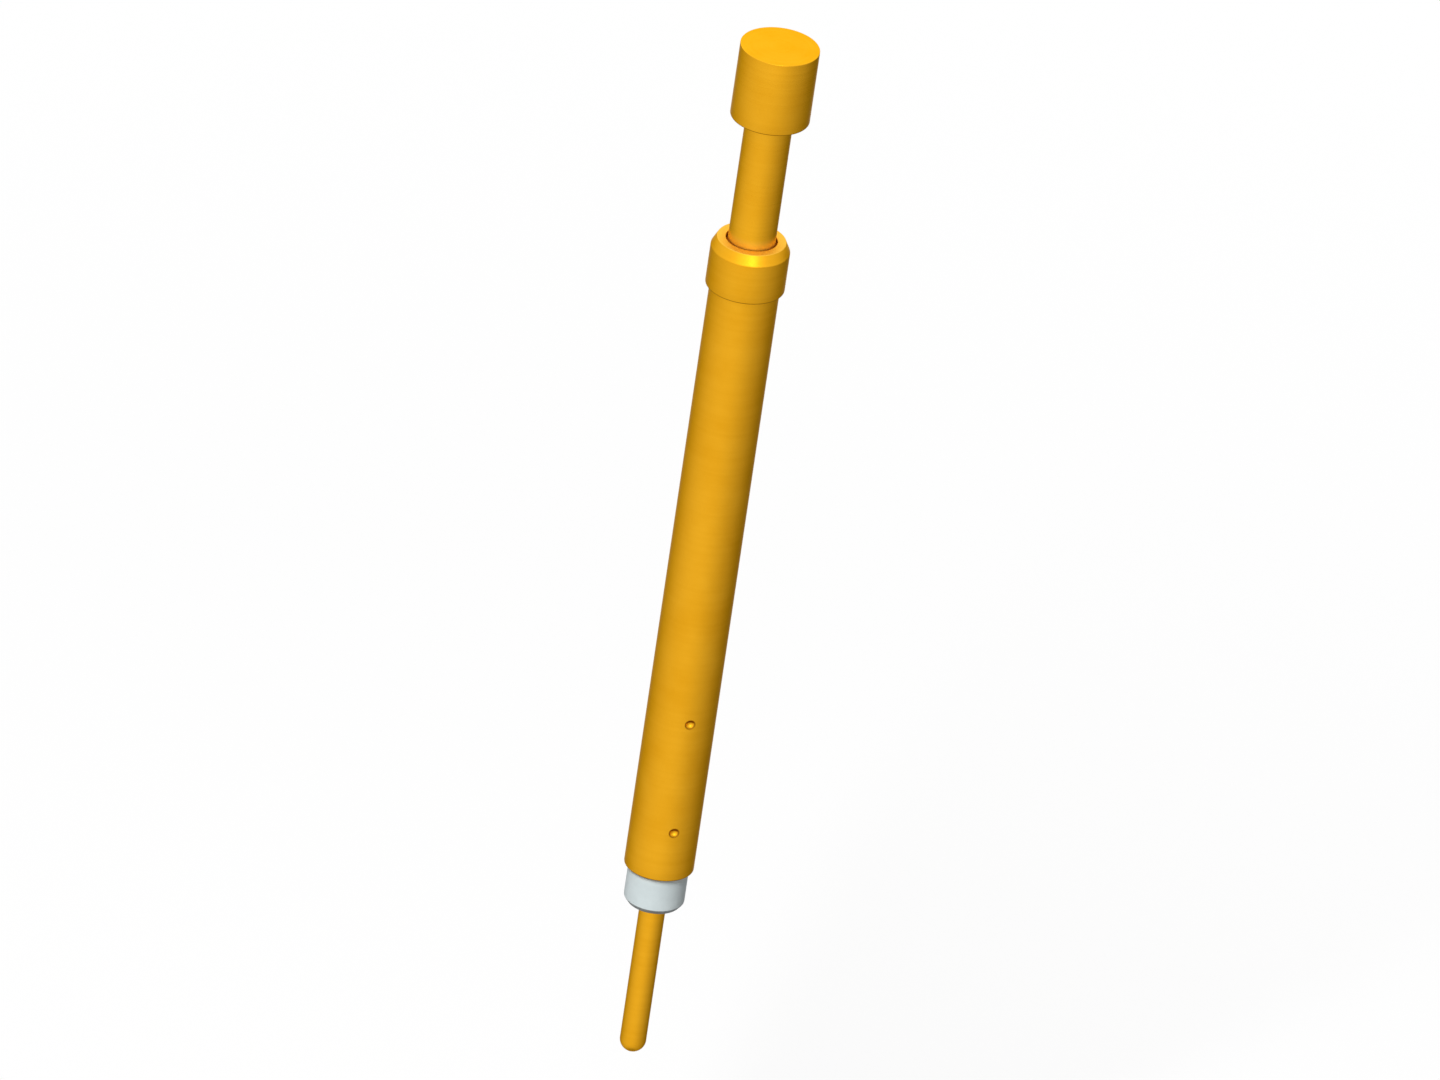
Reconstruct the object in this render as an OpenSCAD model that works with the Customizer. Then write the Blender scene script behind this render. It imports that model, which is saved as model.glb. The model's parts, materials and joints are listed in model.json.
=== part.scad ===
// Switching pogo pin: a flat-headed plunger slides in a flanged barrel on a coil spring. Near the end of
// its stroke the plunger's rod closes a circuit on a second, smaller sprung contact in an insulated tail.
// Millimetres. The origin is on the axis at the collar's underside, and +Z points to the head.

/* [Head] */
// Diameter of the flat contact head
head_d = 3.0; // [2.4:0.1:6]
// Height of the head
head_len = 3.0; // [1:0.1:6]

/* [Plunger] */
// Full travel of the plunger into the barrel
stroke = 5.0; // [3:0.1:6]
// Room left between head and collar when the plunger is pressed home
head_gap = 0.2; // [0.05:0.05:1]
// Diameter of the shaft that slides through the collar
shaft_d = 1.8; // [1.2:0.05:2.1]
// Length of the thick part that runs in the bore
guide_len = 5.0; // [2:0.1:6]
// Diameter of the thin rod that reaches for the inner contact
rod_d = 0.9; // [0.5:0.05:1.3]
// Radial play of the guide in the barrel's bore
guide_play = 0.03; // [0.01:0.01:0.1]

/* [Barrel] */
// Outside diameter of the barrel
barrel_d = 2.65; // [2.4:0.05:2.9]
// Length of the barrel below the collar
barrel_len = 25.0; // [24:0.5:40]
// Thickness of the barrel's wall
wall = 0.165; // [0.1:0.005:0.25]
// Diameter of the collar that stops the pin in its socket
collar_d = 3.0; // [2.9:0.05:5]
// Height of the collar
collar_len = 2.0; // [1:0.1:4]
// Width of the bevel round the collar's top edge
bevel_w = 0.2; // [0.05:0.05:0.3]
// Height of that bevel
bevel_h = 0.4; // [0.1:0.1:0.8]
// Thickness of the lip rolled in over the plunger's shoulder
lip_t = 0.4; // [0.2:0.05:0.8]
// Radial gap between the lip and the shaft
mouth_gap = 0.075; // [0.02:0.005:0.2]

/* [Crimps] */
// Height of the lower row of punch marks above the barrel's end
crimp_low = 2.1; // [1:0.1:3]
// Height of the upper row above the barrel's end
crimp_high = 6.8; // [5:0.1:7.5]
// Punch marks in each row
crimp_count = 3; // [2:1:6]
// Radius of the punch's round nose
punch_r = 0.2; // [0.15:0.01:0.25]
// Depth that the punch sinks into the wall
punch_depth = 0.12; // [0.05:0.01:0.15]

/* [Insulator] */
// Length of insulator that stands out below the barrel
insulator_show = 1.6; // [0.6:0.1:4]
// Width of the bevel round its lower edge
insulator_bevel_w = 0.15; // [0.05:0.01:0.3]
// Height of that bevel
insulator_bevel_h = 0.2; // [0.05:0.05:0.5]
// Gap all round between the insulator and the metal that it is fixed to
insulator_gap = 0.01; // [0.005:0.005:0.03]
// Gap between the neck and the main spring round it
neck_play = 0.05; // [0.03:0.01:0.1]
// Thickness of the neck that keeps the main spring off the tail
neck_wall = 0.14; // [0.08:0.01:0.18]
// Height of the neck above the spring's seat
neck_len = 1.0; // [0.5:0.1:1.5]

/* [Tail] */
// Diameter of the tail pin
tail_d = 1.0; // [0.6:0.05:1.15]
// Length of tail pin below the insulator
tail_show = 6.5; // [2:0.5:20]
// Thickness of the wall round the inner contact
tube_wall = 0.15; // [0.1:0.01:0.18]
// Thickness of the lip rolled in over the inner contact
tube_lip = 0.3; // [0.1:0.05:0.5]
// Height of the tube's floor above the barrel's end
tube_floor_rise = 2.0; // [1.5:0.1:2.4]
// Metal between the tube's floor and the waist
floor_t = 0.8; // [0.4:0.1:1]
// Diameter of the waist that anchors the tail in the insulator
waist_d = 0.65; // [0.4:0.05:0.65]

/* [Inner contact] */
// Travel of the plunger before its rod meets the inner contact
switch_gap = 2.0; // [1:0.1:2.5]
// Diameter of the contact's domed pin
contact_d = 0.5; // [0.4:0.02:0.6]
// Length of the contact's guide in the tube
contact_guide_len = 1.2; // [0.6:0.1:1.5]
// Radial play of the contact in the tube and in its mouth
contact_play = 0.04; // [0.02:0.01:0.06]
// How far the contact's tip stays above the tube when pressed home
contact_rest = 0.3; // [0.1:0.05:0.5]

/* [Springs] */
// Wire of the main spring
main_wire = 0.25; // [0.15:0.01:0.27]
// Gap between the main spring and the bore round it
main_spring_gap = 0.085; // [0.06:0.005:0.12]
// Turns of the main spring
main_turns = 20; // [12:1:22]
// Wire of the contact's spring
contact_wire = 0.1; // [0.06:0.01:0.12]
// Gap between the contact's spring and the tube round it
contact_spring_gap = 0.07; // [0.03:0.01:0.1]
// Length of the contact's spring with the plunger out
contact_spring_len = 6.0; // [5:0.1:6.5]
// Turns of the contact's spring
contact_turns = 20; // [12:1:24]

/* [Hidden] */
$fn = 96;
gold = "goldenrod";
steel = "lightgray";
// how far a cut runs past the face that it opens
cut_past = 0.5;
// closed turns at each end of a spring, and the sliver of air between them
closed_turns = 1;
closed_air = 0.02;
// facets round a spring's wire, and steps in one turn
wire_sides = 8;
turn_steps = 16;

// the barrel and the plunger, from the collar outwards
bore_d = barrel_d - 2 * wall;
mouth_d = shaft_d + 2 * mouth_gap;
guide_d = bore_d - 2 * guide_play;
lip_z = collar_len - lip_t;
head_z = collar_len + head_gap + stroke;
guide_z = lip_z - guide_len;
barrel_z = -barrel_len;

// what lies inside the main spring, from its wire inwards
main_spring_d = bore_d - 2 * main_spring_gap;
neck_d = main_spring_d - 2 * main_wire - 2 * neck_play;
tube_d = neck_d - 2 * neck_wall - 2 * insulator_gap;
tube_bore_d = tube_d - 2 * tube_wall;

// the tail, from its tube's floor upwards and downwards
floor_z = barrel_z + tube_floor_rise;
contact_z = floor_z + contact_spring_len;
tube_lip_z = contact_z + contact_guide_len;
tube_z = tube_lip_z + tube_lip;
waist_z = floor_z - floor_t;
insulator_z = barrel_z - insulator_show;
tail_z = insulator_z - tail_show;

// the inner contact, and the rod that presses it down from full stroke less the gap
contact_travel = stroke - switch_gap;
contact_tip_z = tube_z + contact_rest + contact_travel;
rod_z = contact_tip_z + switch_gap;

// the insulator, which fills the bore and carries the main spring
insulator_d = bore_d - 2 * insulator_gap;
seat_z = tube_z - neck_len;

// a plain turned length between two heights
module turned(d, low, high) {
    translate([0, 0, low]) cylinder(d = d, h = high - low);
}

// a turned length that narrows from one end to the other
module tapered(low_d, high_d, low, high) {
    translate([0, 0, low]) cylinder(d1 = low_d, d2 = high_d, h = high - low);
}

// a pin with a full round nose, running up or down from its base
module domed_pin(d, base, tip) {
    len = abs(tip - base);
    translate([0, 0, base])
        mirror([0, 0, tip < base ? 1 : 0])
            rotate_extrude()
                intersection() {
                    union() {
                        translate([0, len - d / 2]) circle(d = d);
                        square([d / 2, len - d / 2]);
                    }
                    square([d / 2, len]);
                }
}

// a ball at each punch mark, centred where the punch's nose stops
module at_punch_marks(ball_r) {
    for (row = [crimp_low, crimp_high], i = [0:crimp_count - 1]) {
        rotate([0, 0, 360 * i / crimp_count])
            translate([0, -(barrel_d / 2 + punch_r - punch_depth), barrel_z + row])
                sphere(r = ball_r);
    }
}

// how high the wire's centre has climbed after a number of turns
function climb(turn, turns, closed_pitch, open_pitch) =
    closed_pitch * (min(turn, closed_turns) + max(0, turn - turns + closed_turns))
    + open_pitch * max(0, min(turn, turns - closed_turns) - closed_turns);

// a compression spring with closed ends, standing between two heights
module coil_spring(outer_d, wire, turns, low, high) {
    wire_r = wire / 2;
    mean_r = outer_d / 2 - wire_r;
    closed_pitch = wire + closed_air;
    open_pitch = (high - low - wire - 2 * closed_turns * closed_pitch) / (turns - 2 * closed_turns);
    rings = turns * turn_steps;
    points = [
        for (i = [0:rings], k = [0:wire_sides - 1])
            let (
                around = 360 * i / turn_steps,
                section = 360 * k / wire_sides,
                r = mean_r + wire_r * cos(section),
                rise = climb(i / turn_steps, turns, closed_pitch, open_pitch)
            )
            [r * cos(around), r * sin(around), low + wire_r + rise + wire_r * sin(section)]
    ];
    skin = [
        for (i = [0:rings - 1], k = [0:wire_sides - 1])
            let (
                a = i * wire_sides + k,
                b = i * wire_sides + (k + 1) % wire_sides,
                next_a = a + wire_sides,
                next_b = b + wire_sides
            )
            each [[a, b, next_b], [a, next_b, next_a]]
    ];
    first_end = [for (k = [wire_sides - 1:-1:0]) k];
    last_end = [for (k = [0:wire_sides - 1]) rings * wire_sides + k];
    polyhedron(points = points, faces = concat(skin, [first_end, last_end]));
}

// Turned brass tube with a collar, its mouth rolled in and its wall punched to grip the insulator
module barrel() {
    color(gold)
        difference() {
            union() {
                difference() {
                    union() {
                        turned(barrel_d, barrel_z, 0);
                        turned(collar_d, 0, collar_len - bevel_h);
                        tapered(collar_d, collar_d - 2 * bevel_w, collar_len - bevel_h, collar_len);
                    }
                    turned(bore_d, barrel_z - cut_past, lip_z);
                    turned(mouth_d, lip_z - cut_past, collar_len + cut_past);
                }
                // the wall bulges inwards behind each mark
                intersection() {
                    at_punch_marks(punch_r + wall);
                    turned(bore_d + wall, barrel_z, lip_z);
                }
            }
            at_punch_marks(punch_r);
        }
}

// One turned piece: head, shaft, guide and rod
module plunger() {
    color(gold) {
        turned(head_d, head_z, head_z + head_len);
        turned(shaft_d, lip_z, head_z);
        turned(guide_d, guide_z, lip_z);
        turned(rod_d, rod_z, guide_z);
    }
}

// Coil spring that returns the plunger
module main_spring() {
    color(steel)
        coil_spring(main_spring_d, main_wire, main_turns, seat_z, guide_z);
}

// Plastic sleeve moulded round the tail, with a neck that guides the main spring
module insulator() {
    color("whitesmoke")
        difference() {
            union() {
                tapered(insulator_d - 2 * insulator_bevel_w, insulator_d,
                        insulator_z, insulator_z + insulator_bevel_h);
                turned(insulator_d, insulator_z + insulator_bevel_h, seat_z);
                turned(neck_d, seat_z, tube_z);
            }
            turned(waist_d + 2 * insulator_gap, insulator_z - cut_past, waist_z);
            turned(tube_d + 2 * insulator_gap, waist_z - insulator_gap, tube_z + cut_past);
            at_punch_marks(punch_r + wall + insulator_gap);
        }
}

// Tail pin with a round nose, waisted in the insulator, and drilled from above to hold the inner contact
module terminal() {
    color(gold)
        difference() {
            union() {
                domed_pin(tail_d, insulator_z, tail_z);
                turned(waist_d, insulator_z, waist_z);
                turned(tube_d, waist_z, tube_z);
            }
            turned(tube_bore_d, floor_z, tube_lip_z);
            turned(contact_d + 2 * contact_play, tube_lip_z - cut_past, tube_z + cut_past);
        }
}

// Small domed pin that the plunger's rod presses down to close the circuit
module switch_contact() {
    color(gold) {
        turned(tube_bore_d - 2 * contact_play, contact_z, tube_lip_z);
        domed_pin(contact_d, tube_lip_z, contact_tip_z);
    }
}

// Fine coil spring under the inner contact
module contact_spring() {
    color(steel)
        coil_spring(tube_bore_d - 2 * contact_spring_gap, contact_wire, contact_turns, floor_z, contact_z);
}

barrel();
plunger();
main_spring();
insulator();
terminal();
switch_contact();
contact_spring();
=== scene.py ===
import json
import math

import bpy
from mathutils import Matrix, Vector


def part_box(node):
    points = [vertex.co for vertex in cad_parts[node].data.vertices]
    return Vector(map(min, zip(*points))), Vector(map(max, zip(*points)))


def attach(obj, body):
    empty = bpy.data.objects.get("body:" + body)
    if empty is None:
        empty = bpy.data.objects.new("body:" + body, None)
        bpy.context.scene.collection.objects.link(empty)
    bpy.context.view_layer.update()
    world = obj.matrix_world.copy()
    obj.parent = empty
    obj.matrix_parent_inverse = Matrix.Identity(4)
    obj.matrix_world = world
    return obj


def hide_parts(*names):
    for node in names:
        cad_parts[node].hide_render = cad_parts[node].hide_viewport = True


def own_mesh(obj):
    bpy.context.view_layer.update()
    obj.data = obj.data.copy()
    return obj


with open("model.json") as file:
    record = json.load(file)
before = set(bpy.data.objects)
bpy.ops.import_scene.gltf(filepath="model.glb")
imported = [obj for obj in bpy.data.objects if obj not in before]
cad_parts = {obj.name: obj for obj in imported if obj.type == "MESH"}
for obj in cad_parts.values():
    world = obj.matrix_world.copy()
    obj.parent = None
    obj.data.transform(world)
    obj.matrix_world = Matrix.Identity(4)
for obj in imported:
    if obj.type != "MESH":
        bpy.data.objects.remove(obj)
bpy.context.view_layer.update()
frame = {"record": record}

# --- Tail pin ---------------------------------------------------------------------------------------
# One turned brass pin, gold plated: a plain round-nosed tail, a waist that the insulator grips, and a
# tube above it, drilled from the top to hold the inner contact. The tube's mouth is rolled in last.

MM = 0.001
mounts = {mount["name"]: mount for mount in frame["record"]["mounts"]}
tail_low, tube_top = (corner.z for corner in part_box("terminal"))
tail_r = mounts["tail_pin"]["dims"]["r_mm"] * MM
shoulder_z = mounts["tail_pin"]["pos_m"][2]
tube_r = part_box("terminal")[1].x
contact_low, contact_tip = (corner.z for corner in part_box("switch_contact"))
contact_spring_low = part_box("contact_spring")[0].z
collar_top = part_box("barrel")[1].z
WAIST_R = 0.325 * MM
TUBE_WALL = 0.15 * MM
TUBE_LIP = 0.3 * MM
FLOOR_THICKNESS = 0.8 * MM
CONTACT_PLAY = 0.04 * MM
CONTACT_R = 0.25 * MM
NOSE_STEPS = 24
# how far a corner is eased: at a step, at a plain edge, at a drilled hole's bottom, at a lead-in
STEP_EDGE = 0.02 * MM
EDGE = 0.03 * MM
DRILLED_CORNER = 0.04 * MM
LEAD_IN = 0.08 * MM
# long walls have a ring of points this far from an end, so that the eased corner's shading stays there
END_RING = 1 * MM
# a point nearer to the axis than this is on it
ON_AXIS = 1e-9
GOLD_DEEP = (0.77, 0.36, 0.010, 1)
GOLD_PALE = (0.83, 0.41, 0.017, 1)
# paler: partly rubbing, partly painted light that tones down the orange glow reflected at the mouth
GOLD_RUBBED_AND_PAINTED_PALE = (0.89, 0.53, 0.065, 1)
# the painted shade on edges that face down and on the rims of punch marks
GOLD_PAINTED_SHADE = (0.22, 0.085, 0.004, 1)
GOLD_EDGE = (0.95, 0.80, 0.45, 1)
RUBBED_DULLER = 0.28
SATIN = (0.30, 0.40)
LATHE_MARKS = 1.2e-6
FEED_SHARE = 0.6
GRAIN_FINER = 6


def eased(corners, arc_steps=4):
    """The outline through the corners (radius, height, easing), each rounded off by its easing."""
    points = []
    for i, (radius, height, ease) in enumerate(corners):
        here = Vector((radius, height))
        if not ease:
            points.append(here)
            continue
        before = Vector(corners[i - 1][:2])
        after = Vector(corners[(i + 1) % len(corners)][:2])
        start = here + (before - here).normalized() * ease
        end = here + (after - here).normalized() * ease
        for k in range(arc_steps + 1):
            t = k / arc_steps
            points.append(start * (1 - t) ** 2 + here * 2 * t * (1 - t) + end * t**2)
    return points


def turned(name, outline, steps=256):
    """Turns an outline about the pin's axis. It closes on the axis, or on itself if it is a tube's."""
    verts, rings = [], []
    for point in outline:
        if point.x < ON_AXIS:
            rings.append([len(verts)] * steps)
            verts.append((0, 0, point.y))
            continue
        rings.append(range(len(verts), len(verts) + steps))
        for i in range(steps):
            around = math.tau * i / steps
            verts.append((point.x * math.cos(around), point.x * math.sin(around), point.y))
    pairs = list(zip(rings, rings[1:]))
    if outline[0].x > ON_AXIS:
        pairs.append((rings[-1], rings[0]))
    faces = []
    for low, high in pairs:
        for i in range(steps):
            j = (i + 1) % steps
            corners = dict.fromkeys((low[i], low[j], high[j], high[i]))
            if len(corners) > 2:
                faces.append(tuple(corners))
    return made_piece(name, verts, faces)


def made_piece(name, verts, faces):
    """A smooth-shaded piece whose flats keep their own normals beside the small rounded edges."""
    mesh = bpy.data.meshes.new(name)
    mesh.from_pydata(verts, [], faces)
    mesh.validate()
    mesh.shade_smooth()
    piece = bpy.data.objects.new(name, mesh)
    bpy.context.collection.objects.link(piece)
    weighted = piece.modifiers.new("flats_stay_flat", "WEIGHTED_NORMAL")
    weighted.mode = "FACE_AREA"
    weighted.weight = 100
    return piece


def node_maker(tree):
    """A short way to add a node to this tree, with its settings, and its inputs set or joined."""

    def add(kind, inputs=(), **settings):
        node = tree.nodes.new("ShaderNode" + kind)
        for key, value in settings.items():
            setattr(node, key, value)
        for socket, value in dict(inputs).items():
            if isinstance(value, bpy.types.NodeSocket):
                tree.links.new(value, node.inputs[socket])
            else:
                node.inputs[socket].default_value = value
        return node

    return add


def new_finish(name, **plain):
    """A new material, its shader with these plain values set, and what adds its nodes and joins them."""
    material = bpy.data.materials.new(name)
    material.use_nodes = True
    tree = material.node_tree
    shader = tree.nodes["Principled BSDF"]
    for socket, value in plain.items():
        shader.inputs[socket.replace("_", " ").title()].default_value = value

    def join(output, socket):
        tree.links.new(output, shader.inputs[socket])

    return material, node_maker(tree), join


def low_edge(add):
    """How far a place is on an edge or bevel that faces down, between a wall and a flat underside."""
    facing = add("SeparateXYZ", {"Vector": add("NewGeometry").outputs["Normal"]}).outputs["Z"]
    past_wall = add("MapRange", {"Value": facing, "From Min": -0.05, "From Max": -0.35})
    short_of_flat = add("MapRange", {"Value": facing, "From Min": -0.995, "From Max": -0.97})
    between = add("Math", {0: past_wall.outputs[0], 1: short_of_flat.outputs[0]}, operation="MULTIPLY")
    return between.outputs[0]


def gold_plating(name, gloss, marks, pale_band=None, painted_shade=False):
    """Gold over turned brass: tone that drifts over the surface, and fine marks left by the lathe.

    gloss is the lowest and highest roughness, and marks is the height of the lathe marks in metres.
    rubbed is the height where the plating starts to turn paler and duller, and the one where it is
    fully so. Rubbing there makes it duller and paler; the paler tint is also painted light, which
    tones down the orange glow that the shaft and the mouth reflect into each other.
    Where tumbled is set, edges that face down and the rims of punch marks get painted shade, darker.
    """
    material, add, join = new_finish(name, metallic=1.0, specular_tint=GOLD_EDGE)
    place = add("TexCoord").outputs["Object"]
    split = add("SeparateXYZ", {"Vector": place})
    flat = add("CombineXYZ", {"X": split.outputs["X"], "Y": split.outputs["Y"]})
    radius = add("VectorMath", {0: flat.outputs[0]}, operation="LENGTH").outputs["Value"]
    # the lathe's marks run round the axis, so they change only with radius and height
    lathe = add("CombineXYZ", {"X": radius, "Z": split.outputs["Z"]}).outputs[0]
    drift = add("TexNoise", {"Vector": place, "Scale": 700.0, "Detail": 3.0, "Roughness": 0.55})
    feed = add("TexNoise", {"Vector": lathe, "Scale": 6500.0, "Detail": 5.0, "Roughness": 0.62})
    grain = add("TexNoise", {"Vector": place, "Scale": 26000.0, "Detail": 2.0, "Roughness": 0.5})
    mixed = add("Math", {0: feed.outputs["Fac"], 1: FEED_SHARE, 2: drift.outputs["Fac"]},
                operation="MULTIPLY_ADD")
    tone = add("MapRange", {"Value": mixed.outputs[0], "From Min": 0.55, "From Max": 1.05})
    colour = add("Mix", {"Factor": tone.outputs[0], "A": GOLD_DEEP, "B": GOLD_PALE}, data_type="RGBA")
    # paler and duller near the mouth: rubbing, and partly painted light against the orange glow reflected
    # there
    if pale_band:
        paled = add("MapRange", {"Value": split.outputs["Z"], "From Min": pale_band[0], "From Max": pale_band[1]})
        colour = add("Mix", {"Factor": paled.outputs[0], "A": colour.outputs["Result"], "B": GOLD_RUBBED_AND_PAINTED_PALE},
                     data_type="RGBA")
    # painted shade: edges that face down and the rims of punch marks are darkened in the base colour
    if painted_shade:
        rims = add("Attribute", attribute_name="painted_rim_shade").outputs["Fac"]
        dark = add("Math", {0: low_edge(add), 1: rims}, operation="MAXIMUM")
        colour = add("Mix", {"Factor": dark.outputs[0], "A": colour.outputs["Result"], "B": GOLD_PAINTED_SHADE},
                     data_type="RGBA")
    join(colour.outputs["Result"], "Base Color")
    rub = add("Math", {0: feed.outputs["Fac"], 1: grain.outputs["Fac"]}, operation="ADD")
    rough = add("MapRange", {"Value": rub.outputs[0], "From Min": 0.7, "From Max": 1.3,
                             "To Min": gloss[0], "To Max": gloss[1]})
    if pale_band:
        rough = add("Math", {0: paled.outputs[0], 1: RUBBED_DULLER, 2: rough.outputs[0]},
                    operation="MULTIPLY_ADD")
    join(rough.outputs[0], "Roughness")
    tool_marks = add("Bump", {"Height": feed.outputs["Fac"], "Distance": marks, "Strength": 1.0})
    plating_grain = add("Bump", {"Height": grain.outputs["Fac"], "Distance": marks / GRAIN_FINER,
                                 "Strength": 1.0, "Normal": tool_marks.outputs[0]})
    join(plating_grain.outputs[0], "Normal")
    return material


tube_bore_r = tube_r - TUBE_WALL
nose = [
    Vector((tail_r * math.sin(a), tail_low + tail_r * (1 - math.cos(a))))
    for a in (math.pi / 2 * k / NOSE_STEPS for k in range(NOSE_STEPS + 1))
]
terminal_upper = eased([
    (tail_r, shoulder_z - END_RING, 0),
    (tail_r, shoulder_z, STEP_EDGE),
    (WAIST_R, shoulder_z, STEP_EDGE),
    (WAIST_R, contact_spring_low - FLOOR_THICKNESS, STEP_EDGE),
    (tube_r, contact_spring_low - FLOOR_THICKNESS, EDGE),
    (tube_r, tube_top, LEAD_IN),
    (CONTACT_R + CONTACT_PLAY, tube_top, EDGE),
    (CONTACT_R + CONTACT_PLAY, tube_top - TUBE_LIP, 0),
    (tube_bore_r, tube_top - TUBE_LIP, EDGE),
    (tube_bore_r, contact_spring_low, DRILLED_CORNER),
    (0, contact_spring_low, 0),
])
terminal = turned("tail_pin", nose + terminal_upper)
terminal.data.materials.append(gold_plating("tail_gold", gloss=SATIN, marks=LATHE_MARKS))
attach(terminal, "barrel")
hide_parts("terminal")

# --- Insulator --------------------------------------------------------------------------------------
# A white plastic sleeve, moulded round the tail pin's waist. It fills the barrel's lower end, where the
# barrel's punch marks bite into it, and its thin neck keeps the main spring off the tail pin.

insulator_low, neck_top = (corner.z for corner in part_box("insulator"))
insulator_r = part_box("insulator")[1].x
barrel_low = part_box("barrel")[0].z
barrel_r = mounts["barrel_fit"]["dims"]["r_mm"] * MM
spring_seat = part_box("main_spring")[0].z
INSULATOR_BEVEL_WIDTH = 0.15 * MM
INSULATOR_BEVEL_HEIGHT = 0.2 * MM
INSULATOR_GAP = 0.01 * MM
NECK_WALL = 0.14 * MM
NECK_EDGE = 0.04 * MM
SEAT_RING = 0.06 * MM
PUNCH_ROWS = (2.1 * MM, 6.8 * MM)
PUNCH_COUNT = 3
PUNCH_R = 0.2 * MM
PUNCH_DEPTH = 0.12 * MM
PUNCH_SOFTNESS = 0.006 * MM
# the width of the painted shade ring at each punch mark's rim
DARK_RIM_WIDTH = 0.022 * MM
PUNCH_REACH = 0.32 * MM
PUNCH_STEP = 0.016 * MM
PLASTIC_SHADE = (0.69, 0.775, 0.785, 1)
PLASTIC_LIGHT = (0.75, 0.835, 0.845, 1)
# painted shade on the bevel and the edges that face down
PLASTIC_PAINTED_SHADE = (0.31, 0.34, 0.34, 1)


def rows_past_marks(low, high, step=PUNCH_STEP):
    """Heights between two ends, close together where the punch marks need them."""
    heights = [low]
    for row in PUNCH_ROWS:
        steps = round(2 * PUNCH_REACH / step)
        start = barrel_low + row - PUNCH_REACH
        heights += [start + 2 * PUNCH_REACH * k / steps for k in range(steps + 1)]
    return heights + [high]


def punched(piece):
    """Presses the punch marks into a turned wall, with the metal drawn in softly at each rim.

    It leaves on the mesh how near each place is to a rim, where the gold plating is painted darker as
    shade.
    """
    rims = piece.data.attributes.new("painted_rim_shade", "FLOAT", "POINT").data
    rim_r = math.sqrt(PUNCH_R**2 - (PUNCH_R - PUNCH_DEPTH) ** 2)
    for vertex in piece.data.vertices:
        x, y, z = vertex.co
        radius = math.hypot(x, y)
        # the neck and all inside it are out of the punch's reach
        if radius < tube_r + NECK_WALL:
            continue
        around = math.atan2(y, x) + math.pi / 2
        side = (around + math.pi / PUNCH_COUNT) % (math.tau / PUNCH_COUNT) - math.pi / PUNCH_COUNT
        rise = min((z - barrel_low - row for row in PUNCH_ROWS), key=abs)
        away = math.hypot(side * barrel_r, rise)
        if away > PUNCH_REACH:
            continue
        # painted shade: strongest on the punch mark's rim, fading to either side
        rims[vertex.index].value = math.exp(-(((away - rim_r) / DARK_RIM_WIDTH) ** 2))
        ball = math.sqrt(max(PUNCH_R**2 - away**2, 0)) - max(away - PUNCH_R, 0)
        depth = ball - PUNCH_R + PUNCH_DEPTH
        depth = PUNCH_SOFTNESS * math.log1p(math.exp(depth / PUNCH_SOFTNESS))
        vertex.co.x *= 1 - depth / radius
        vertex.co.y *= 1 - depth / radius


def moulded_plastic(name):
    """Matt engineering plastic: faintly clouded, with a fine skin, and painted shade on down-facing edges.
    """
    material, add, join = new_finish(name)
    place = add("TexCoord").outputs["Object"]
    cloud = add("TexNoise", {"Vector": place, "Scale": 1400.0, "Detail": 4.0, "Roughness": 0.6})
    skin = add("TexNoise", {"Vector": place, "Scale": 16000.0, "Detail": 3.0, "Roughness": 0.6})
    tone = add("MapRange", {"Value": cloud.outputs["Fac"], "From Min": 0.35, "From Max": 0.65})
    moulded = add("Mix", {"Factor": tone.outputs[0], "A": PLASTIC_SHADE, "B": PLASTIC_LIGHT},
                  data_type="RGBA")
    # painted shade: the bevel and the edges that face down are painted greyer
    colour = add("Mix", {"Factor": low_edge(add), "A": moulded.outputs["Result"], "B": PLASTIC_PAINTED_SHADE},
                 data_type="RGBA")
    join(colour.outputs["Result"], "Base Color")
    rough = add("MapRange", {"Value": skin.outputs["Fac"], "From Min": 0.3, "From Max": 0.7,
                             "To Min": 0.42, "To Max": 0.55})
    join(rough.outputs[0], "Roughness")
    bump = add("Bump", {"Height": skin.outputs["Fac"], "Distance": 1.5e-6, "Strength": 1.0})
    join(bump.outputs[0], "Normal")
    return material


neck_r = tube_r + INSULATOR_GAP + NECK_WALL
insulator_outline = eased([
    (WAIST_R + INSULATOR_GAP, insulator_low, 0),
    (insulator_r - INSULATOR_BEVEL_WIDTH, insulator_low, EDGE),
    (insulator_r, insulator_low + INSULATOR_BEVEL_HEIGHT, EDGE),
    (insulator_r, barrel_low, 0),
])
insulator_outline += [
    Vector((insulator_r, z)) for z in rows_past_marks(barrel_low + END_RING, spring_seat - END_RING)
]
insulator_outline += eased([
    (insulator_r, spring_seat - SEAT_RING, 0),
    (insulator_r, spring_seat, EDGE),
    (neck_r, spring_seat, EDGE),
    (neck_r, neck_top, NECK_EDGE),
    (tube_r + INSULATOR_GAP, neck_top, STEP_EDGE),
    (tube_r + INSULATOR_GAP, contact_spring_low - FLOOR_THICKNESS - INSULATOR_GAP, 0),
    (WAIST_R + INSULATOR_GAP, contact_spring_low - FLOOR_THICKNESS - INSULATOR_GAP, 0),
])
insulator = turned("insulating_sleeve", insulator_outline, steps=360)
punched(insulator)
insulator.data.materials.append(moulded_plastic("insulator_plastic"))
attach(insulator, "barrel")
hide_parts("insulator")

# --- Inner contact and its spring -------------------------------------------------------------------
# A small turned pin with a domed tip, held in the tail's tube by the rolled lip over its guide. A fine
# coil spring under it pushes it up to meet the plunger's rod near the end of the stroke.

CONTACT_CLEAR = 0.01 * MM
CONTACT_WIRE_R = 0.05 * MM
CONTACT_SPRING_GAP = 0.07 * MM
CONTACT_TURNS = 20
CLOSED_PITCH = 1.05
GUIDE_EDGE = 0.05 * MM
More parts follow.
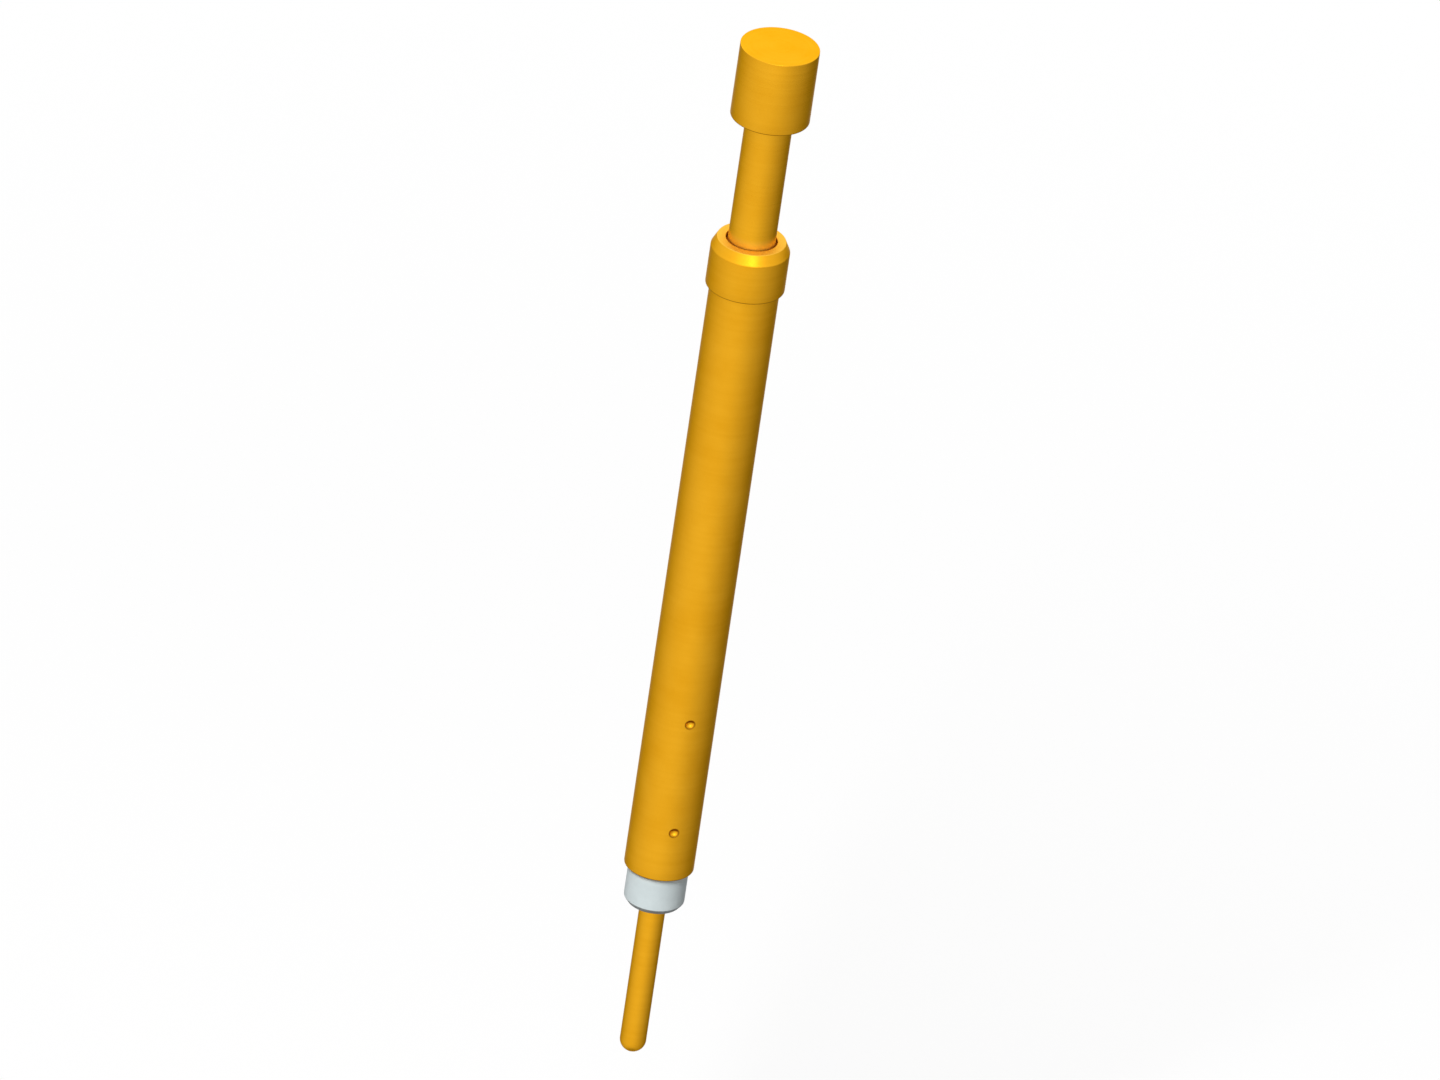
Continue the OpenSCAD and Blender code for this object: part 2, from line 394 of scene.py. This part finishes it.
# where the shaft turns paler and duller: rubbed, and painted paler against the orange glow at the mouth
SHAFT_PALE_STARTS = 0.40 * MM
SHAFT_PALE_WHOLE = 0.10 * MM
SMOOTH = (0.26, 0.36)
FINE_LATHE_MARKS = 0.9e-6
WIRE_DARK = (0.50, 0.49, 0.47, 1)
WIRE_PALE = (0.62, 0.61, 0.59, 1)


def coil(name, outer_r, wire_r, turns, low, high, steps=40, sides=12):
    """A compression spring of round wire, its end turns closed, standing between two heights."""
    mean_r = outer_r - wire_r
    closed = 2 * wire_r * CLOSED_PITCH
    climb = high - low - 2 * wire_r
    pitch = (climb - 2 * closed) / (turns - 2)
    verts, faces = [], []
    rings = turns * steps
    for i in range(rings + 1):
        turn = i / steps
        centre = low + wire_r + closed * (min(turn, 1) + max(0, turn - turns + 1))
        centre += pitch * max(0, min(turn, turns - 1) - 1)
        around = math.tau * turn
        for k in range(sides):
            section = math.tau * k / sides
            radius = mean_r + wire_r * math.cos(section)
            verts.append((radius * math.cos(around), radius * math.sin(around),
                          centre + wire_r * math.sin(section)))
    for i in range(rings):
        for k in range(sides):
            a, b = i * sides + k, i * sides + (k + 1) % sides
            faces.append((a, a + sides, b + sides, b))
    faces.append(tuple(range(sides)))
    faces.append(tuple(rings * sides + k for k in reversed(range(sides))))
    return made_piece(name, verts, faces)


def spring_wire(name):
    """Drawn steel wire, with a little darker tone in streaks."""
    material, add, join = new_finish(name, metallic=1.0)
    place = add("TexCoord").outputs["Object"]
    streak = add("TexNoise", {"Vector": place, "Scale": 6000.0, "Detail": 4.0, "Roughness": 0.6})
    tone = add("MapRange", {"Value": streak.outputs["Fac"], "From Min": 0.3, "From Max": 0.7})
    colour = add("Mix", {"Factor": tone.outputs[0], "A": WIRE_DARK, "B": WIRE_PALE}, data_type="RGBA")
    join(colour.outputs["Result"], "Base Color")
    rough = add("MapRange", {"Value": streak.outputs["Fac"], "To Min": 0.22, "To Max": 0.36})
    join(rough.outputs[0], "Roughness")
    bump = add("Bump", {"Height": streak.outputs["Fac"], "Distance": 1e-6, "Strength": 1.0})
    join(bump.outputs[0], "Normal")
    return material


# down-facing edges get painted shade; the shaft by the mouth turns duller from rubbing and paler, partly as
# painted light against the orange glow there
plunger_gold = gold_plating(
    "plunger_gold", gloss=SMOOTH, marks=FINE_LATHE_MARKS, painted_shade=True,
    pale_band=(collar_top + SHAFT_PALE_STARTS, collar_top - SHAFT_PALE_WHOLE))
wire_steel = spring_wire("spring_wire")
dome_top = contact_tip - CONTACT_CLEAR
contact_outline = eased([
    (0, contact_low, 0),
    (tube_bore_r - CONTACT_PLAY, contact_low, GUIDE_EDGE),
    (tube_bore_r - CONTACT_PLAY, tube_top - TUBE_LIP, GUIDE_EDGE),
    (CONTACT_R, tube_top - TUBE_LIP, STEP_EDGE),
    (CONTACT_R, dome_top - CONTACT_R, 0),
])
contact_outline += [
    Vector((CONTACT_R * math.cos(a), dome_top - CONTACT_R * (1 - math.sin(a))))
    for a in (math.pi / 2 * k / NOSE_STEPS for k in range(1, NOSE_STEPS + 1))
]
contact = turned("inner_contact", contact_outline)
contact.data.materials.append(plunger_gold)
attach(contact, "switch_contact")
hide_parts("switch_contact")

contact_spring = coil("contact_coil", tube_bore_r - CONTACT_SPRING_GAP, CONTACT_WIRE_R, CONTACT_TURNS,
                      contact_spring_low, contact_low)
contact_spring.data.materials.append(wire_steel)
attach(contact_spring, "barrel")
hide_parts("contact_spring")
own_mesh(contact_spring)

# --- Barrel -----------------------------------------------------------------------------------------
# A thin turned tube with a collar, gold plated inside and out. Its mouth is rolled in over the plunger's
# shoulder, and two rows of round punch marks near its lower end grip the insulator.

collar_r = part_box("barrel")[1].x
guide_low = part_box("main_spring")[1].z
LIP = 0.4 * MM
WALL = 0.165 * MM
BEVEL_WIDTH = 0.2 * MM
BEVEL_HEIGHT = 0.4 * MM
SHAFT_R = 0.9 * MM
MOUTH_GAP = 0.075 * MM
UNDER_EDGE = 0.05 * MM
COLLAR_RING = 0.5 * MM
PLAIN_END = 1.5 * MM
# where the mouth's top ring turns paler and duller: rubbed, and painted paler against the orange glow there
MOUTH_PALE_STARTS = 0.03 * MM
MOUTH_PALE_WHOLE = 0.01 * MM

bore_r = barrel_r - WALL
mouth_r = SHAFT_R + MOUTH_GAP
barrel_outline = eased([
    (bore_r, barrel_low + END_RING, 0),
    (bore_r, barrel_low, EDGE),
    (barrel_r, barrel_low, UNDER_EDGE),
    (barrel_r, barrel_low + END_RING, 0),
])
barrel_outline += [Vector((barrel_r, z)) for z in rows_past_marks(barrel_low + PLAIN_END, -END_RING)]
barrel_outline += eased([
    (barrel_r, -COLLAR_RING, 0),
    (barrel_r, 0, STEP_EDGE),
    (collar_r, 0, UNDER_EDGE),
    (collar_r, collar_top - BEVEL_HEIGHT, EDGE),
    (collar_r - BEVEL_WIDTH, collar_top, EDGE),
    (mouth_r, collar_top, EDGE),
    (mouth_r, collar_top - LIP, EDGE),
    (bore_r, collar_top - LIP, STEP_EDGE),
    (bore_r, -COLLAR_RING, 0),
])
barrel_outline += [
    Vector((bore_r, z))
    for z in reversed(rows_past_marks(barrel_low + PLAIN_END, -END_RING, step=2 * PUNCH_STEP))
]
barrel = turned("barrel_shell", barrel_outline, steps=480)
punched(barrel)
# down-facing edges and punch-mark rims get painted shade; the mouth's top ring turns duller from rubbing
# and paler, partly as painted light against the orange glow there
barrel.data.materials.append(gold_plating(
    "barrel_gold", gloss=SATIN, marks=LATHE_MARKS, painted_shade=True,
    pale_band=(collar_top - MOUTH_PALE_STARTS, collar_top - MOUTH_PALE_WHOLE)))
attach(barrel, "barrel")
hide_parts("barrel")

# --- Main spring ------------------------------------------------------------------------------------
# A coil spring of drawn steel wire that stands on the insulator's shoulder, round its neck, and pushes
# the plunger out against the barrel's rolled lip.

MAIN_WIRE_R = 0.125 * MM
MAIN_SPRING_GAP = 0.085 * MM
MAIN_TURNS = 20
main_spring = coil("main_coil", bore_r - MAIN_SPRING_GAP, MAIN_WIRE_R, MAIN_TURNS, spring_seat, guide_low)
main_spring.data.materials.append(wire_steel)
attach(main_spring, "barrel")
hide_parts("main_spring")
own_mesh(main_spring)

# --- Plunger ----------------------------------------------------------------------------------------
# One turned piece, gold plated: a flat round head, a shaft that slides through the collar, a guide that
# runs in the barrel's bore, and a thin rod that reaches down to the inner contact.

rod_low, head_top = (corner.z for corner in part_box("plunger"))
head_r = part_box("plunger")[1].x
HEAD_LENGTH = 3.0 * MM
GUIDE_PLAY = 0.03 * MM
ROD_R = 0.45 * MM
ROD_EDGE = 0.06 * MM

guide_r = bore_r - GUIDE_PLAY
plunger = turned("plunger_pin", eased([
    (0, rod_low, 0),
    (ROD_R, rod_low, ROD_EDGE),
    (ROD_R, guide_low, EDGE),
    (guide_r, guide_low, LEAD_IN),
    (guide_r, collar_top - LIP, GUIDE_EDGE),
    (SHAFT_R, collar_top - LIP, STEP_EDGE),
    (SHAFT_R, head_top - HEAD_LENGTH, STEP_EDGE),
    (head_r, head_top - HEAD_LENGTH, UNDER_EDGE),
    (head_r, head_top, EDGE),
    (0, head_top, 0),
]))
plunger.data.materials.append(plunger_gold)
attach(plunger, "plunger")
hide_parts("plunger")

# --- Floor, light and camera ------------------------------------------------------------------------
# A pale floor lies a little below the tail, in a white surround that the metal mirrors. Its brightest
# parts are in front of the pin, above it and behind it. The camera is tipped, so that the pin leans right.

FLOOR_DROP = 14 * MM
FLOOR_HALF = 0.45
FLOOR_TONE = (0.24, 0.24, 0.24, 1)
FLOOR_LIFT = 0.75
FLOOR_LIFT_FAR = 0.86
FLOOR_NEAR = 0.08
FLOOR_FAR = 0.40
EVEN_LIGHT = 0.14
SURROUND_LEAST = 0.075
VIEW_AZIMUTH = -17.4
VIEW_ELEVATION = 28.6
VIEW_LEAN = 8.455
VIEW_WIDTH = 53.95 * MM
LENS = 1000
AIM_HEIGHT = -10.955 * MM
AIM_RIGHT = 0.485 * MM


def toward(azimuth, elevation):
    """The direction from the pin at these angles in degrees, the first one counted from the camera's."""
    bearing = math.radians(VIEW_AZIMUTH + azimuth)
    rise = math.radians(elevation)
    return Vector((math.sin(bearing) * math.cos(rise), -math.cos(bearing) * math.cos(rise), math.sin(rise)))


floor_mesh = bpy.data.meshes.new("floor")
floor_z = tail_low - FLOOR_DROP
floor_mesh.from_pydata(
    [(x, y, floor_z) for x, y in ((-FLOOR_HALF, -FLOOR_HALF), (FLOOR_HALF, -FLOOR_HALF),
                                  (FLOOR_HALF, FLOOR_HALF), (-FLOOR_HALF, FLOOR_HALF))],
    [], [(0, 1, 2, 3)])
floor = bpy.data.objects.new("floor", floor_mesh)
bpy.context.collection.objects.link(floor)
floor.data.materials.append(bpy.data.materials.new("floor_paper"))
floor.visible_glossy = False

# the camera sees the floor lifted to white, more so far out where the lamps fade, and clear from below
paper = floor.active_material
paper.use_nodes = True
paper.node_tree.nodes.clear()
add = node_maker(paper.node_tree)
reach = add("VectorMath", {0: add("TexCoord").outputs["Object"]}, operation="LENGTH").outputs["Value"]
lift = add("MapRange", {"Value": reach, "From Min": FLOOR_NEAR, "From Max": FLOOR_FAR,
                        "To Min": FLOOR_LIFT, "To Max": FLOOR_LIFT_FAR})
lifted = add("Math", {0: lift.outputs[0], 1: add("LightPath").outputs["Is Camera Ray"]},
             operation="MULTIPLY")
lit = add("AddShader", {0: add("BsdfDiffuse", {"Color": FLOOR_TONE}).outputs[0],
                        1: add("Emission", {"Strength": lifted.outputs[0]}).outputs[0]})
one_sided = add("MixShader", {0: add("NewGeometry").outputs["Backfacing"], 1: lit.outputs[0],
                              2: add("BsdfTransparent").outputs[0]})
add("OutputMaterial", {"Surface": one_sided.outputs[0]})

world = bpy.data.worlds.new("surround")
bpy.context.scene.world = world
world.use_nodes = True
world.node_tree.nodes.clear()
world_node = node_maker(world.node_tree)
direction = world_node("TexCoord").outputs["Generated"]


def glow(centre, starts, full, strength, ease="SMOOTHSTEP"):
    """Light that grows as a direction nears the centre, from one closeness (its cosine) to another."""
    nearness = world_node("VectorMath", {0: direction, 1: centre}, operation="DOT_PRODUCT").outputs["Value"]
    return world_node("MapRange", {"Value": nearness, "From Min": starts, "From Max": full,
                                   "To Min": 0.0, "To Max": strength}, interpolation_type=ease).outputs[0]


surround = SURROUND_LEAST
for light in (
    glow(toward(-26, -22), starts=-1, full=1, strength=0.96, ease="LINEAR"),
    glow((0, 0, 1), starts=-0.25, full=0.1, strength=0.40),
    glow(toward(5, 27), starts=0.68, full=1, strength=0.75),
    glow(toward(180, 40), starts=0.3, full=0.9, strength=0.83),
    glow(toward(85, 20), starts=0.70, full=1, strength=0.28),
    glow(toward(180, -20), starts=0.88, full=1, strength=0.45),
):
    surround = world_node("Math", {0: surround, 1: light}, operation="ADD").outputs[0]
# straight below the pin it is dark, as under a pin held in its socket
dark_below = glow((0, 0, -1), starts=0.90, full=0.985, strength=0.50)
open_share = world_node("Math", {0: 1.0, 1: dark_below}, operation="SUBTRACT").outputs[0]
surround = world_node("Math", {0: surround, 1: open_share}, operation="MULTIPLY").outputs[0]
rays = world_node("LightPath")
seen = world_node("Background", {"Strength": 1.0})
gloss = world_node("Background", {"Strength": surround})
even = world_node("Background", {"Strength": EVEN_LIGHT})
for sky in (seen, gloss, even):
    sky.inputs["Color"].default_value = (1, 1, 1, 1)
mirrored = world_node("Math", {0: rays.outputs["Is Glossy Ray"], 1: rays.outputs["Is Transmission Ray"]},
                      operation="MAXIMUM")
reflected = world_node("MixShader", {0: mirrored.outputs[0], 1: even.outputs[0], 2: gloss.outputs[0]})
whole = world_node("MixShader", {0: rays.outputs["Is Camera Ray"], 1: reflected.outputs[0],
                                 2: seen.outputs[0]})
world_node("OutputWorld", {"Surface": whole.outputs[0]})


def soft_lamp(name, azimuth, elevation, distance, size, power):
    """A square soft lamp that faces the pin from this bearing."""
    data = bpy.data.lights.new(name, "AREA")
    data.size = size
    data.energy = power
    lamp = bpy.data.objects.new(name, data)
    bpy.context.collection.objects.link(lamp)
    away = toward(azimuth, elevation)
    lamp.location = away * distance
    lamp.rotation_euler = away.to_track_quat("Z", "Y").to_euler()
    lamp.visible_camera = False
    return lamp


# the surround already stands for the two wide lamps in the metal's reflections
soft_lamp("key_lamp", azimuth=-22, elevation=45, distance=1.5, size=0.5, power=22).visible_glossy = False
soft_lamp("back_lamp", azimuth=160, elevation=40, distance=1.5, size=0.9, power=8).visible_glossy = False
soft_lamp("glint_lamp", azimuth=12, elevation=25, distance=1.0, size=0.36, power=0.8)

camera_data = bpy.data.cameras.new("camera")
camera_data.lens = LENS
camera = bpy.data.objects.new("camera", camera_data)
bpy.context.collection.objects.link(camera)
back = toward(0, VIEW_ELEVATION)
level_right = toward(90, 0)
level_up = back.cross(level_right)
lean = math.radians(VIEW_LEAN)
right = level_right * math.cos(lean) + level_up * math.sin(lean)
up = level_up * math.cos(lean) - level_right * math.sin(lean)
aim = Vector((0, 0, AIM_HEIGHT)) + right * AIM_RIGHT
camera.rotation_euler = Matrix((right, up, back)).transposed().to_euler()
camera.location = aim + back * VIEW_WIDTH * LENS / camera_data.sensor_width
bpy.context.scene.camera = camera
bpy.context.scene.view_settings.view_transform = "Standard"
